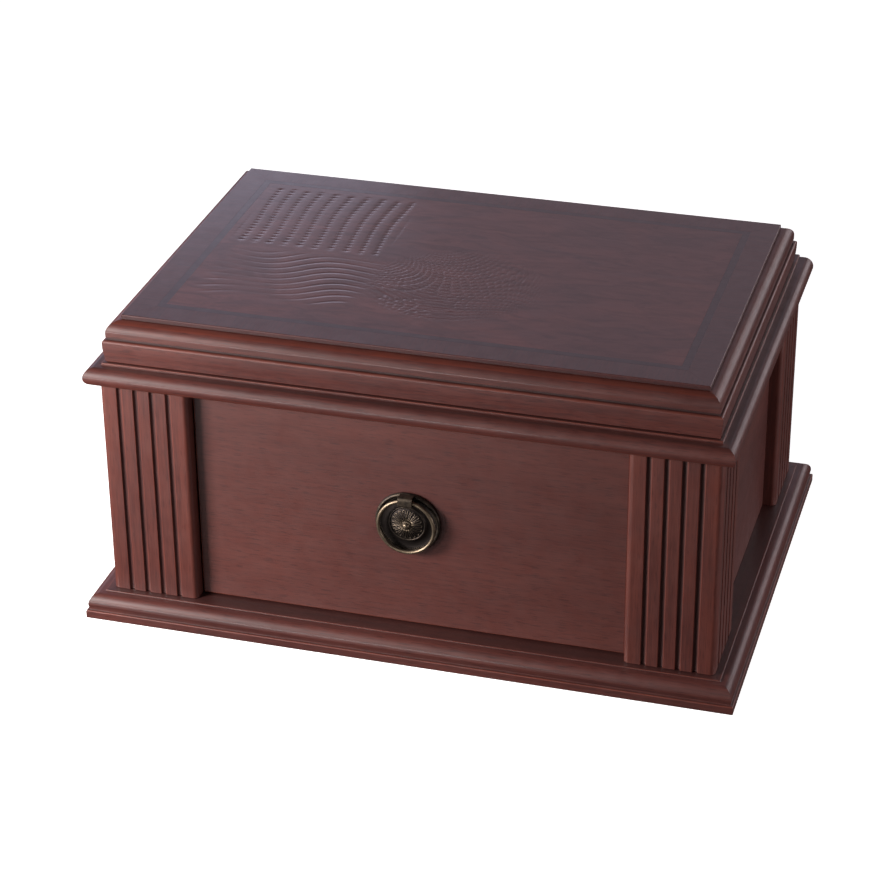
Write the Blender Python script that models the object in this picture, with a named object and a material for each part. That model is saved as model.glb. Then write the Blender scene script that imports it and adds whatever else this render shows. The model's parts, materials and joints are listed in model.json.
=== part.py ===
"""Lidded memorial chest with a drawer, in Blender (metres, +Z up, front towards -Y).

The chest stands on a mitred base moulding.  Four fluted L-section corner posts carry a bullnose cornice.
The lid turns on two butt hinges at the rear, the drawer slides out at the front, and a ring pull swings
on the drawer front.  The origin is under the middle of the base, at the level that the chest stands on.
"""
import math

import bmesh
import bpy
from mathutils import Matrix, Vector
from mathutils.geometry import delaunay_2d_cdt, normal

# ---------------------------------------------------------------- driving dimensions
WIDTH = 0.4200            # across the base moulding
DEPTH = 0.3000            # front to back of the base moulding
HEIGHT = 0.2065           # from the floor to the top of the lid
GAP = 0.0003              # between pieces that touch
WELD = 0.000001           # points closer than this count as one

LEDGE_Z = 0.0165          # top of the base moulding, where the posts stand
BASE_RAIL = 0.0420        # how far the base moulding reaches inwards
BOTTOM_PANEL = 0.0080     # thickness of the bottom panel

POST_INSET = 0.0147       # post face behind the edge of the base
POST_SIZE = 0.0570        # width of each post face
POST_WALL = 0.0180        # thickness of each leg of the post
POST_ROUND = 0.0035       # rounding of the posts' upright edges
FLUTES = 4                # grooves in each post face
FLUTE_PITCH = 0.0107
FLUTE_HALF = 0.0017       # half the width of a groove
FLUTE_DEEP = 0.0018

RECESS = 0.0087           # panels and drawer front behind the post faces
PANEL = 0.0080            # thickness of side, rear and well panels

CORNICE_Z = 0.1638        # underside of the cornice
CORNICE_NOSE_THICK = 0.0120
CORNICE_STEP = 0.0015     # rise of the cornice under the lid
CORNICE_STEP_IN = 0.0094  # where that rise starts, inwards from the nose
CORNICE_NOSE = 0.0068     # cornice nose behind the edge of the base
CORNICE_RAIL = 0.0282     # width of the cornice from its nose inwards

LID_INSET = 0.0172        # widest part of the lid behind the edge of the base, front and sides
LID_REAR = 0.0250         # the same at the rear
LID_RAIL = 0.0180         # width of the lid moulding
FIELD_STEP = 0.0098       # from the widest part of the lid in to the raised top
FILLET = 0.0029           # height of the raised top above the ovolo
CROSSBAND = 0.0165        # width of the veneer border of the top
STRING = 0.0044           # width of the inlaid string inside it
LID_PANEL = 0.0120        # thickness of the lid's core panel

HINGE_X = 0.1150          # distance of each hinge from the middle
HINGE_BACK = 0.0227       # hinge axis in front of the rear edge of the base
HINGE_RISE = 0.0033       # hinge axis above the cornice
HINGE_LONG = 0.0400
KNUCKLE = 0.0024          # outer radius of the hinge barrel
HINGE_PIN = 0.0011        # radius of the hinge pin
LEAF = 0.0011             # thickness of a hinge leaf
LEAF_SCREWS = 0.0110      # distance of a leaf's screws from its middle

FRONT_THICK = 0.0180      # drawer front
FRONT_GAP = 0.0007        # round the drawer front
DRAWER_WIDE = 0.2700      # outer width of the drawer box
DRAWER_LONG = 0.2160      # drawer box behind its front
DRAWER_HIGH = 0.0740
DRAWER_WALL = 0.0100
DRAWER_FLOOR = 0.0040
DRAWER_RAISE = 0.0050     # drawer bottom above the lower edge of the drawer sides
GUIDE = 0.0120            # drawer guides and well ledgers, square section
FELT = 0.0015             # felt linings

WELL_FLOOR_Z = 0.1000     # underside of the floor of the well
WELL_FLOOR = 0.0060

PULL_Z = 0.0902           # middle of the pull's backplate
PLATE_R = 0.0208
PLATE_THICK = 0.0016
ROSETTE_R = 0.0117        # raised middle of the backplate
ROSETTE_OUT = 0.0044      # its highest part in front of the back of the plate
RING_R = 0.01775          # middle of the ring's wire
WIRE = 0.00125            # radius of the ring's wire
RING_OUT = 0.0058         # ring in front of the drawer front
RING_TOP = 0.0171         # ring's pivot above the middle of the backplate
STRAP_WIDE = 0.0090
STRAP_EYE = 0.0021        # radius of the eye in the strap
STRAP_R = 0.0034          # outer radius of the strap round its eye
BOLT_R = 0.0019
BOSS_R = 0.0033

# ---------------------------------------------------------------- places worked out from them
BASE_RECT = (-WIDTH / 2, WIDTH / 2, -DEPTH / 2, DEPTH / 2)
POST_TOP = CORNICE_Z - GAP
CORNICE_TOP = CORNICE_Z + CORNICE_NOSE_THICK + CORNICE_STEP
PANEL_LOW = LEDGE_Z + GAP
FRONT_Y = -DEPTH / 2 + POST_INSET + RECESS
FRONT_BACK = FRONT_Y + FRONT_THICK
POST_INNER_X = WIDTH / 2 - POST_INSET - POST_SIZE
WALL_X = WIDTH / 2 - POST_INSET - POST_WALL
REAR_Y = DEPTH / 2 - POST_INSET
LID_LOW = CORNICE_TOP + GAP
FIELD_Z = HEIGHT - FILLET
HINGE_Y = DEPTH / 2 - HINGE_BACK
HINGE_Z = CORNICE_TOP + HINGE_RISE
DRAWER_LOW = LEDGE_Z + 0.0010
RING_Y = FRONT_Y - RING_OUT
RING_PIVOT_Z = PULL_Z + RING_TOP

MAHOGANY = ((0.150, 0.042, 0.030), 0.32, 0.0)
MAHOGANY_DARK = ((0.085, 0.026, 0.022), 0.35, 0.0)
VENEER = ((0.120, 0.040, 0.036), 0.25, 0.0)
EBONY = ((0.016, 0.011, 0.010), 0.35, 0.0)
PLAIN_WOOD = ((0.420, 0.270, 0.150), 0.60, 0.0)
FELT_CLOTH = ((0.060, 0.012, 0.020), 0.95, 0.0)
BRASS = ((0.190, 0.120, 0.050), 0.38, 1.0)


# ---------------------------------------------------------------- shared helpers
def clear_scene():
    for old in list(bpy.data.objects):
        bpy.data.objects.remove(old, do_unlink=True)


def pivot(name, place):
    """An empty on a joint's axis, for the pieces that move with it."""
    empty = bpy.data.objects.new(name, None)
    empty.location = place
    bpy.context.scene.collection.objects.link(empty)
    return empty


def finish(piece, look):
    colour, roughness, metallic = look
    material = bpy.data.materials.new(piece.name + "_finish")
    material.use_nodes = True
    shader = material.node_tree.nodes["Principled BSDF"]
    shader.inputs["Base Color"].default_value = (*colour, 1.0)
    shader.inputs["Roughness"].default_value = roughness
    shader.inputs["Metallic"].default_value = metallic
    material.diffuse_color = (*colour, 1.0)
    piece.data.materials.clear()
    piece.data.materials.append(material)


def add_piece(name, bm, look, parent=None, smooth=False):
    """Turn world-space geometry into a named object, placed under its pivot."""
    if parent:
        bmesh.ops.translate(bm, verts=bm.verts, vec=-Vector(parent.location))
    bmesh.ops.recalc_face_normals(bm, faces=bm.faces)
    if bm.calc_volume(signed=True) < 0:
        bmesh.ops.reverse_faces(bm, faces=bm.faces)
    mesh = bpy.data.meshes.new(name)
    bm.to_mesh(mesh)
    bm.free()
    piece = bpy.data.objects.new(name, mesh)
    bpy.context.scene.collection.objects.link(piece)
    piece.parent = parent
    if smooth:
        mesh.shade_smooth()
        mesh.set_sharp_from_angle(angle=math.radians(35))
    finish(piece, look)
    return piece


def combine(piece, others, operation):
    """Boolean the other pieces into or out of a piece, then remove them."""
    for other in others:
        modifier = piece.modifiers.new(operation.lower(), "BOOLEAN")
        modifier.operation = operation
        modifier.solver = "EXACT"
        modifier.object = other
    bpy.context.view_layer.update()
    evaluated = piece.evaluated_get(bpy.context.evaluated_depsgraph_get())
    joined = bpy.data.meshes.new_from_object(evaluated)
    piece.modifiers.clear()
    look = piece.data.materials[0]
    piece.data = joined
    joined.materials.clear()
    joined.materials.append(look)
    for other in others:
        bpy.data.objects.remove(other, do_unlink=True)
    return piece


def arc(centre, radii, start, end, steps):
    """Points on an elliptical arc, angles in degrees."""
    points = []
    for step in range(steps + 1):
        angle = math.radians(start + (end - start) * step / steps)
        x = centre[0] + radii[0] * math.cos(angle)
        y = centre[1] + radii[1] * math.sin(angle)
        points.append((x, y))
    return points


def cap_triangles(outline):
    """Triangles that fill a flat outline, each as three places in the outline."""
    facing = normal(outline)
    dropped = max(range(3), key=lambda axis: abs(facing[axis]))
    flat = [Vector([point[axis] for axis in range(3) if axis != dropped]) for point in outline]
    filled = delaunay_2d_cdt(flat, [], [range(len(flat))], 1, WELD)
    return [[filled[3][vert][0] for vert in face] for face in filled[2]]


def loft(bm, first, second):
    """Closed solid between two outlines with the same number of points."""
    low = [bm.verts.new(point) for point in first]
    high = [bm.verts.new(point) for point in second]
    count = len(low)
    for index in range(count):
        follower = (index + 1) % count
        bm.faces.new((low[index], low[follower], high[follower], high[index]))
    for cap in (low, high):
        for corners in cap_triangles([vert.co for vert in cap]):
            bm.faces.new([cap[corner] for corner in corners])


def box(name, x, y, z, look, parent=None):
    """Rectangular board from its (low, high) extents along each axis."""
    bm = bmesh.new()
    size = Vector((x[1] - x[0], y[1] - y[0], z[1] - z[0]))
    middle = Vector((sum(x) / 2, sum(y) / 2, sum(z) / 2))
    matrix = Matrix.Translation(middle) @ Matrix.Diagonal((*size, 1.0))
    bmesh.ops.create_cube(bm, size=1.0, matrix=matrix)
    return add_piece(name, bm, look, parent)


def eased_board(name, x, y, z, ease, look, parent=None):
    """Board with all its edges softened."""
    board = box(name, x, y, z, look, parent)
    bevel = board.modifiers.new("eased_edges", "BEVEL")
    bevel.width = ease
    bevel.segments = 2
    bevel.limit_method = "ANGLE"
    return board


def upright(name, outline, low, high, look, parent=None):
    """Straight post with the given plan outline."""
    bm = bmesh.new()
    loft(bm, [(x, y, low) for x, y in outline], [(x, y, high) for x, y in outline])
    return add_piece(name, bm, look, parent)


def lathe_y(bm, profile, centre_x, centre_z, steps):
    """Solid turned about an axis along Y; the profile holds (radius, y), and starts and ends on the axis."""
    rings = []
    for radius, y in profile:
        if radius == 0.0:
            rings.append([bm.verts.new((centre_x, y, centre_z))])
            continue
        ring = []
        for step in range(steps):
            angle = 2 * math.pi * step / steps
            x = centre_x + radius * math.cos(angle)
            z = centre_z + radius * math.sin(angle)
            ring.append(bm.verts.new((x, y, z)))
        rings.append(ring)
    for near, far in zip(rings, rings[1:]):
        for step in range(steps):
            follower = (step + 1) % steps
            if len(near) == 1:
                bm.faces.new((near[0], far[step], far[follower]))
            elif len(far) == 1:
                bm.faces.new((near[step], near[follower], far[0]))
            else:
                bm.faces.new((near[step], near[follower], far[follower], far[step]))


def rod(bm, start, end, radius, steps=16):
    """Plain round bar between two points."""
    start = Vector(start)
    end = Vector(end)
    turn = (end - start).to_track_quat("Z", "Y").to_matrix().to_4x4()
    matrix = Matrix.Translation((start + end) / 2) @ turn
    bmesh.ops.create_cone(bm, cap_ends=True, segments=steps, radius1=radius, radius2=radius,
                          depth=(end - start).length, matrix=matrix)


def tube(bm, start_x, end_x, y, z, outer, bore, steps=16):
    """Ring-shaped prism along X, round inside, with the outline that the outer radius gives."""
    loops = []
    for x in (start_x, end_x):
        for radius in (outer, bore):
            points = [(x, *point) for point in arc((y, z), (radius, radius), 0, 360, steps)[:-1]]
            loops.append([bm.verts.new(point) for point in points])
    outer_a, bore_a, outer_b, bore_b = loops
    for step in range(steps):
        follower = (step + 1) % steps
        bm.faces.new((outer_a[step], outer_a[follower], bore_a[follower], bore_a[step]))
        bm.faces.new((outer_b[step], bore_b[step], bore_b[follower], outer_b[follower]))
        bm.faces.new((outer_a[step], outer_b[step], outer_b[follower], outer_a[follower]))
        bm.faces.new((bore_a[step], bore_a[follower], bore_b[follower], bore_b[step]))


def moulding(name, profile, rect, side, square_end, look, parent=None):
    """One length of moulding along a side of a rectangle.

    The profile holds (inset, z).  The ends are mitred, with half the gap on each side of the joint,
    except where square_end names the rear, where the length is cut square at the rectangle's edge.
    """
    x0, x1, y0, y1 = rect
    slack = GAP / math.sqrt(2)
    ends = []
    for far_end in (False, True):
        points = []
        for inset, z in profile:
            if side in ("front", "rear"):
                along = x1 - inset - slack if far_end else x0 + inset + slack
                across = y0 + inset if side == "front" else y1 - inset
                points.append((along, across, z))
            else:
                along = y1 - inset - slack if far_end else y0 + inset + slack
                if far_end and square_end:
                    along = y1
                across = x0 + inset if side == "left" else x1 - inset
                points.append((across, along, z))
        ends.append(points)
    bm = bmesh.new()
    loft(bm, *ends)
    return add_piece(name, bm, look, parent)


# ---------------------------------------------------------------- profiles, as (inset, z)
def base_profile():
    band = 0.0055
    quirk = 0.0068
    nose = 0.0012
    shoulder = 0.0158
    step = 0.0103
    profile = [(0.0, 0.0), (0.0, band - 0.0005), (0.0005, band)]
    profile += [(nose + 0.0006, band), (nose + 0.0006, quirk)]
    profile += arc((nose + 0.0062, 0.0090), (0.0062, shoulder - 0.0090), 180, 90, 7)
    profile += [(step, shoulder), (step, LEDGE_Z), (BASE_RAIL, LEDGE_Z), (BASE_RAIL, 0.0)]
    return profile


def cornice_profile():
    radius = CORNICE_NOSE_THICK / 2
    profile = arc((radius, CORNICE_Z + radius), (radius, radius), 270, 90, 12)
    profile += [(CORNICE_STEP_IN, CORNICE_Z + CORNICE_NOSE_THICK), (CORNICE_STEP_IN, CORNICE_TOP)]
    profile += [(CORNICE_RAIL, CORNICE_TOP), (CORNICE_RAIL, CORNICE_Z)]
    return profile


def lid_profile():
    widest = LID_LOW + 0.0130
    frieze_top = widest + 0.0015
    quirk = 0.0019
    ovolo_low = frieze_top + 0.0016
    shoulder = FIELD_Z - GAP
    profile = [(0.0013, LID_LOW)] + arc((0.0013, widest), (0.0013, 0.0095), 240, 180, 3)
    profile += arc((0.0015, widest), (0.0015, 0.0015), 150, 90, 3)
    profile += [(quirk + 0.0006, frieze_top), (quirk + 0.0006, ovolo_low), (quirk, ovolo_low)]
    reach = FIELD_STEP - quirk
    profile += arc((quirk + reach, shoulder - 0.0066), (reach, 0.0066), 180, 90, 8)
    profile += [(LID_RAIL, shoulder), (LID_RAIL, LID_LOW)]
    return profile


# ---------------------------------------------------------------- chest
def base():
    for side in ("front", "rear", "left", "right"):
        moulding("base_moulding_" + side, base_profile(), BASE_RECT, side, False, MAHOGANY)
    reach_x = WIDTH / 2 - BASE_RAIL - GAP
    reach_y = DEPTH / 2 - BASE_RAIL - GAP
    low = LEDGE_Z - BOTTOM_PANEL
    box("bottom_panel", (-reach_x, reach_x), (-reach_y, reach_y), (low, LEDGE_Z), PLAIN_WOOD)


def fluted_face():
    """Points along one post face, from the corner's rounding to the far rounding, with its grooves."""
    points = []
    first = POST_SIZE / 2 - FLUTE_PITCH * (FLUTES - 1) / 2
    for index in range(FLUTES):
        middle = first + FLUTE_PITCH * index
        points += arc((middle, 0.0), (FLUTE_HALF, FLUTE_DEEP), 180, 0, 6)
    return points


def post_outline():
    """Plan of the front left post, with its outer corner at (0, 0) and its legs along +x and +y."""
    r = POST_ROUND
    front = fluted_face()
    outline = arc((r, r), (r, r), 180, 270, 4) + front
    outline += arc((POST_SIZE - r, r), (r, r), 270, 360, 4)
    outline += [(POST_SIZE, POST_WALL), (POST_WALL, POST_WALL), (POST_WALL, POST_SIZE)]
    outline += arc((r, POST_SIZE - r), (r, r), 90, 180, 4)
    outline += [(y, x) for x, y in reversed(front)]
    return outline


def posts():
    for end, flip_y in (("front", 1), ("rear", -1)):
        for hand, flip_x in (("left", 1), ("right", -1)):
            corner_x = -flip_x * (WIDTH / 2 - POST_INSET)
            corner_y = -flip_y * (DEPTH / 2 - POST_INSET)
            plan = [(corner_x + flip_x * x, corner_y + flip_y * y) for x, y in post_outline()]
            upright("corner_post_%s_%s" % (end, hand), plan, PANEL_LOW, POST_TOP, MAHOGANY)


def panels():
    face_x = WIDTH / 2 - POST_INSET - RECESS
    reach_y = DEPTH / 2 - POST_INSET - POST_SIZE - GAP
    tall = (PANEL_LOW, POST_TOP)
    box("side_panel_left", (-face_x, PANEL - face_x), (-reach_y, reach_y), tall, MAHOGANY_DARK)
    box("side_panel_right", (face_x - PANEL, face_x), (-reach_y, reach_y), tall, MAHOGANY_DARK)
    reach_x = POST_INNER_X - GAP
    rear = REAR_Y - RECESS
    box("rear_panel", (-reach_x, reach_x), (rear - PANEL, rear), tall, MAHOGANY_DARK)


def cornice():
    edge = WIDTH / 2 - CORNICE_NOSE
    rect = (-edge, edge, -DEPTH / 2 + CORNICE_NOSE, REAR_Y)
    for side in ("front", "left", "right"):
        moulding("cornice_" + side, cornice_profile(), rect, side, True, MAHOGANY)
    reach = edge - CORNICE_RAIL - GAP
    deep = CORNICE_RAIL - (POST_INSET - CORNICE_NOSE)
    box("cornice_rear", (-reach, reach), (REAR_Y - deep, REAR_Y), (CORNICE_Z, CORNICE_TOP), MAHOGANY)


def well():
    """Tray under the lid: a front wall behind the drawer front, and a floor on two ledgers."""
    reach = WALL_X - GAP
    wall_front = FRONT_BACK + FRONT_GAP
    wall_back = wall_front + PANEL
    low = WELL_FLOOR_Z
    box("well_front", (-reach, reach), (wall_front, wall_back), (low, POST_TOP), MAHOGANY_DARK)
    rear = REAR_Y - POST_WALL - GAP
    floor_y = (wall_back + GAP, rear)
    floor_top = low + WELL_FLOOR
    box("well_floor", (-reach, reach), floor_y, (low, floor_top), PLAIN_WOOD)
    mat_x = reach - GAP
    mat_y = (floor_y[0] + GAP, floor_y[1] - GAP)
    box("well_lining", (-mat_x, mat_x), mat_y, (floor_top + GAP, floor_top + GAP + FELT), FELT_CLOTH)
    ledger_z = (low - GAP - GUIDE, low - GAP)
    box("well_ledger_left", (-reach, GUIDE - reach), floor_y, ledger_z, PLAIN_WOOD)
    box("well_ledger_right", (reach - GUIDE, reach), floor_y, ledger_z, PLAIN_WOOD)


def drawer_guides():
    inner = DRAWER_WIDE / 2 + FRONT_GAP
    along = (FRONT_BACK + FRONT_GAP, REAR_Y - POST_WALL - GAP)
    tall = (PANEL_LOW, PANEL_LOW + GUIDE)
    box("drawer_guide_left", (-inner - GUIDE, -inner), along, tall, PLAIN_WOOD)
    box("drawer_guide_right", (inner, inner + GUIDE), along, tall, PLAIN_WOOD)


# ---------------------------------------------------------------- hinges
def knuckle_span(start_x, index):
    """Ends of one of the five knuckles of a hinge barrel."""
    pitch = HINGE_LONG / 5
    return start_x + pitch * index + GAP / 2, start_x + pitch * (index + 1) - GAP / 2


def leaf(name, middle_x, knuckles, plate_y, plate_z, tongue_y, tongue_z, parent=None):
    """Hinge leaf: a plate, and a tongue and a ring for each of its knuckles."""
    start_x = middle_x - HINGE_LONG / 2
    plate = box(name, (start_x, start_x + HINGE_LONG), plate_y, plate_z, BRASS)
    extras = []
    for index in knuckles:
        span = knuckle_span(start_x, index)
        bm = bmesh.new()
        tube(bm, *span, HINGE_Y, HINGE_Z, KNUCKLE, HINGE_PIN + GAP)
        extras.append(add_piece("knuckle", bm, BRASS))
        extras.append(box("tongue", span, tongue_y, tongue_z, BRASS))
    combine(plate, extras, "UNION")
    if parent:
        plate.data.transform(Matrix.Translation(-Vector(parent.location)))
        plate.parent = parent
    return plate


def countersunk_screw(name, place, direction, look, parent=None):
    """Head of a screw, seated on a surface at place and driven along direction."""
    bm = bmesh.new()
    place = Vector(place)
    direction = Vector(direction)
    turn = direction.to_track_quat("Z", "Y").to_matrix().to_4x4()
    head = 0.0006
    matrix = Matrix.Translation(place + direction * -head / 2) @ turn
    bmesh.ops.create_cone(bm, cap_ends=True, segments=14, radius1=0.0014, radius2=0.0017, depth=head,
                          matrix=matrix)
    return add_piece(name, bm, look, parent)


def hinges(lid_pivot):
    for hand, sign in (("left", -1), ("right", 1)):
        middle = sign * HINGE_X
        low = CORNICE_TOP + GAP
        clear = HINGE_Y + KNUCKLE + GAP
        fixed_y = (clear, REAR_Y)
        fixed_z = (low, low + LEAF)
        tongue_y = (HINGE_Y + HINGE_PIN + 2 * GAP, clear + GAP)
        tongue_z = (low, HINGE_Z)
        leaf("hinge_%s_fixed_leaf" % hand, middle, (0, 2, 4), fixed_y, fixed_z, tongue_y, tongue_z)
        face = DEPTH / 2 - LID_REAR + GAP
        plate_y = (face, face + LEAF)
        plate_low = HINGE_Z + KNUCKLE + GAP
        plate_z = (plate_low, LID_LOW + 0.0138)
        tongue_z = (HINGE_Z + HINGE_PIN + 2 * GAP, plate_low + GAP)
        leaf("hinge_%s_lid_leaf" % hand, middle, (1, 3), plate_y, plate_z, plate_y, tongue_z, lid_pivot)
        bm = bmesh.new()
        half = HINGE_LONG / 2 + 0.0006
        rod(bm, (middle - half, HINGE_Y, HINGE_Z), (middle + half, HINGE_Y, HINGE_Z), HINGE_PIN, 12)
        add_piece("hinge_%s_pin" % hand, bm, BRASS)
        for number, offset in ((1, -LEAF_SCREWS), (2, LEAF_SCREWS)):
            x = middle + offset
            seat = (x, (clear + REAR_Y) / 2, fixed_z[1] + GAP)
            countersunk_screw("hinge_%s_fixed_screw_%d" % (hand, number), seat, (0, 0, -1), BRASS)
            seat = (x, plate_y[1] + GAP, (plate_z[0] + plate_z[1]) / 2)
            countersunk_screw("hinge_%s_lid_screw_%d" % (hand, number), seat, (0, -1, 0), BRASS, lid_pivot)


# ---------------------------------------------------------------- lid
def lid(parent):
    edge = WIDTH / 2 - LID_INSET
    rect = (-edge, edge, -DEPTH / 2 + LID_INSET, DEPTH / 2 - LID_REAR)
    for side in ("front", "rear", "left", "right"):
        moulding("lid_moulding_" + side, lid_profile(), rect, side, False, MAHOGANY, parent)
    x = rect[1] - LID_RAIL - GAP
    y = (rect[2] + LID_RAIL + GAP, rect[3] - LID_RAIL - GAP)
    top = FIELD_Z - GAP
    box("lid_panel", (-x, x), y, (top - LID_PANEL, top), PLAIN_WOOD, parent)
    field = (rect[0] + FIELD_STEP, rect[1] - FIELD_STEP, rect[2] + FIELD_STEP, rect[3] - FIELD_STEP)
    band = [(0.0, FIELD_Z), (0.0, HEIGHT - 0.0004), (0.0004, HEIGHT)]
    band += [(CROSSBAND, HEIGHT), (CROSSBAND, FIELD_Z)]
    for side in ("front", "rear", "left", "right"):
        moulding("crossband_" + side, band, field, side, False, VENEER, parent)
    string(field, parent)
    inset = CROSSBAND + STRING + 2 * GAP
    x = field[1] - inset
    y = (field[2] + inset, field[3] - inset)
    box("lid_field", (-x, x), y, (FIELD_Z, HEIGHT), VENEER, parent)


def string(field, parent):
    """Inlaid string as one rectangular frame between the border and the field."""
    bm = bmesh.new()
    loops = []
    for inset in (CROSSBAND + GAP, CROSSBAND + GAP + STRING):
        for z in (FIELD_Z, HEIGHT):
            corners = [(field[0] + inset, field[2] + inset), (field[1] - inset, field[2] + inset),
                       (field[1] - inset, field[3] - inset), (field[0] + inset, field[3] - inset)]
            loops.append([bm.verts.new((x, y, z)) for x, y in corners])
    outer_low, outer_high, inner_low, inner_high = loops
    for index in range(4):
        follower = (index + 1) % 4
        for first, second in ((outer_low, outer_high), (outer_high, inner_high),
                              (inner_high, inner_low), (inner_low, outer_low)):
            bm.faces.new((first[index], first[follower], second[follower], second[index]))
    add_piece("string_inlay", bm, EBONY, parent)


# ---------------------------------------------------------------- drawer and pull
def drawer(parent):
    half = POST_INNER_X - FRONT_GAP
    front_z = (LEDGE_Z + 0.0008, POST_TOP - 0.0005)
    front = eased_board("drawer_front", (-half, half), (FRONT_Y, FRONT_BACK), front_z, 0.0008,
                        MAHOGANY, parent)
    bm = bmesh.new()
    rod(bm, (0, FRONT_Y - 0.01, PULL_Z), (0, FRONT_BACK + 0.01, PULL_Z), BOLT_R + GAP)
    drill = add_piece("drill", bm, MAHOGANY, parent)
    combine(front, [drill], "DIFFERENCE")
    side_y = (FRONT_BACK + GAP, FRONT_BACK + GAP + DRAWER_LONG)
    side_z = (DRAWER_LOW, DRAWER_LOW + DRAWER_HIGH)
    outer = DRAWER_WIDE / 2
    inner = outer - DRAWER_WALL
    box("drawer_side_left", (-outer, -inner), side_y, side_z, PLAIN_WOOD, parent)
    box("drawer_side_right", (inner, outer), side_y, side_z, PLAIN_WOOD, parent)
    reach = inner - GAP
    back_y = (side_y[1] - DRAWER_WALL, side_y[1])
    box("drawer_back", (-reach, reach), back_y, side_z, PLAIN_WOOD, parent)
    floor_y = (side_y[0], back_y[0] - GAP)
    floor_z = (DRAWER_LOW + DRAWER_RAISE, DRAWER_LOW + DRAWER_RAISE + DRAWER_FLOOR)
    box("drawer_bottom", (-reach, reach), floor_y, floor_z, PLAIN_WOOD, parent)
    mat_x = reach - GAP
    mat_y = (floor_y[0] + GAP, floor_y[1] - GAP)
    mat_z = (floor_z[1] + GAP, floor_z[1] + GAP + FELT)
    box("drawer_lining", (-mat_x, mat_x), mat_y, mat_z, FELT_CLOTH, parent)


def backplate(parent):
    """Round dished plate with a raised rim and a domed rosette, bored for the bolt."""
    face = FRONT_Y - GAP
    thick = PLATE_THICK
    bore = BOLT_R + GAP
    rim = PLATE_R - 0.0012
    profile = [(bore, face), (PLATE_R, face), (PLATE_R, face - thick * 0.6)]
    profile += arc((rim, face - thick * 0.6), (PLATE_R - rim, thick * 0.9), 0, -180, 6)[1:]
    foot = face - thick * 0.75
    profile += [(0.0150, foot), (ROSETTE_R, foot), (ROSETTE_R, face - 0.0024)]
    profile += [(ROSETTE_R - 0.0012, face - 0.0029), (BOSS_R + 0.0008, face - ROSETTE_OUT)]
    profile += [(bore, face - ROSETTE_OUT), (bore, face)]
    bm = bmesh.new()
    steps = 48
    rings = []
    for radius, y in profile[:-1]:
        points = [(x, y, z) for x, z in arc((0.0, PULL_Z), (radius, radius), 0, 360, steps)[:-1]]
        rings.append([bm.verts.new(point) for point in points])
    for near, far in zip(rings, rings[1:] + rings[:1]):
        for step in range(steps):
            follower = (step + 1) % steps
            bm.faces.new((near[step], near[follower], far[follower], far[step]))
    add_piece("pull_backplate", bm, BRASS, parent, smooth=True)


def strap(parent):
    """Folded strap at the top of the backplate, with the eye that the ring hangs in."""
    bm = bmesh.new()
    tube(bm, -STRAP_WIDE / 2, STRAP_WIDE / 2, RING_Y, RING_PIVOT_Z, STRAP_R, STRAP_EYE, 24)
    eye = add_piece("pull_strap", bm, BRASS, parent, smooth=True)
    foot_front = RING_Y + STRAP_EYE + 0.0004
    foot_back = FRONT_Y - GAP - PLATE_THICK * 1.5 - GAP
    foot_z = (RING_PIVOT_Z - STRAP_R * 0.9, RING_PIVOT_Z + STRAP_R * 0.9)
    half = STRAP_WIDE / 2
    foot = box("foot", (-half, half), (foot_front, foot_back), foot_z, BRASS, parent)
    combine(eye, [foot], "UNION")


def pull_fixings(parent):
    """Bolt through the middle of the backplate, and its nut inside the drawer front."""
    seat = FRONT_Y - GAP - ROSETTE_OUT - GAP
    profile = [(0.0, seat - 0.0024)]
    profile += arc((0.0, seat - 0.0006), (BOSS_R, 0.0018), -65, 0, 4)
    profile += [(BOSS_R, seat), (BOLT_R, seat), (BOLT_R, FRONT_BACK + 0.0060), (0.0, FRONT_BACK + 0.0060)]
    bm = bmesh.new()
    lathe_y(bm, profile, 0.0, PULL_Z, 20)
    add_piece("pull_bolt", bm, BRASS, parent, smooth=True)
    bm = bmesh.new()
    tube(bm, FRONT_BACK + GAP, FRONT_BACK + 0.0036, 0.0, 0.0, 0.0040, BOLT_R + GAP, 18)
    turn = Matrix.Translation((0.0, 0.0, PULL_Z)) @ Matrix.Rotation(math.radians(90), 4, "Z")
    bmesh.ops.transform(bm, matrix=turn, verts=bm.verts)
    add_piece("pull_nut", bm, BRASS, parent, smooth=True)


def ring(parent):
    """Plain ring of round wire, hanging from its pivot."""
    bm = bmesh.new()
    around = 48
    section = 10
    centre_z = RING_PIVOT_Z - RING_R
    loops = []
    for step in range(around):
        angle = 2 * math.pi * step / around
        loop = []
        for reach, out in arc((RING_R, 0.0), (WIRE, WIRE), 0, 360, section)[:-1]:
            x = reach * math.sin(angle)
            z = centre_z + reach * math.cos(angle)
            loop.append(bm.verts.new((x, RING_Y + out, z)))
        loops.append(loop)
    for near, far in zip(loops, loops[1:] + loops[:1]):
        for index in range(section):
            follower = (index + 1) % section
            bm.faces.new((near[index], near[follower], far[follower], far[index]))
    add_piece("pull_ring", bm, BRASS, parent, smooth=True)


def main():
    clear_scene()
    lid_pivot = pivot("lid_pivot", (0.0, HINGE_Y, HINGE_Z))
    drawer_slide = pivot("drawer_slide", (0.0, FRONT_Y, PULL_Z))
    ring_pivot = pivot("ring_pivot", (0.0, RING_Y, RING_PIVOT_Z))
    base()
    posts()
    panels()
    cornice()
    well()
    drawer_guides()
    hinges(lid_pivot)
    lid(lid_pivot)
    drawer(drawer_slide)
    backplate(drawer_slide)
    strap(drawer_slide)
    pull_fixings(drawer_slide)
    ring(ring_pivot)


main()
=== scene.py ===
"""Looks of the lidded memorial chest: fine mouldings, carved top, ring pull, hinges and all materials.

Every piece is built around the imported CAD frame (metres, +Z up, front towards -Y) and rides on one of its
bodies: chest, lid, drawer or ring.
"""

import json
import math

import bmesh
import bpy
import numpy as np
from mathutils import Matrix, Vector


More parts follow.
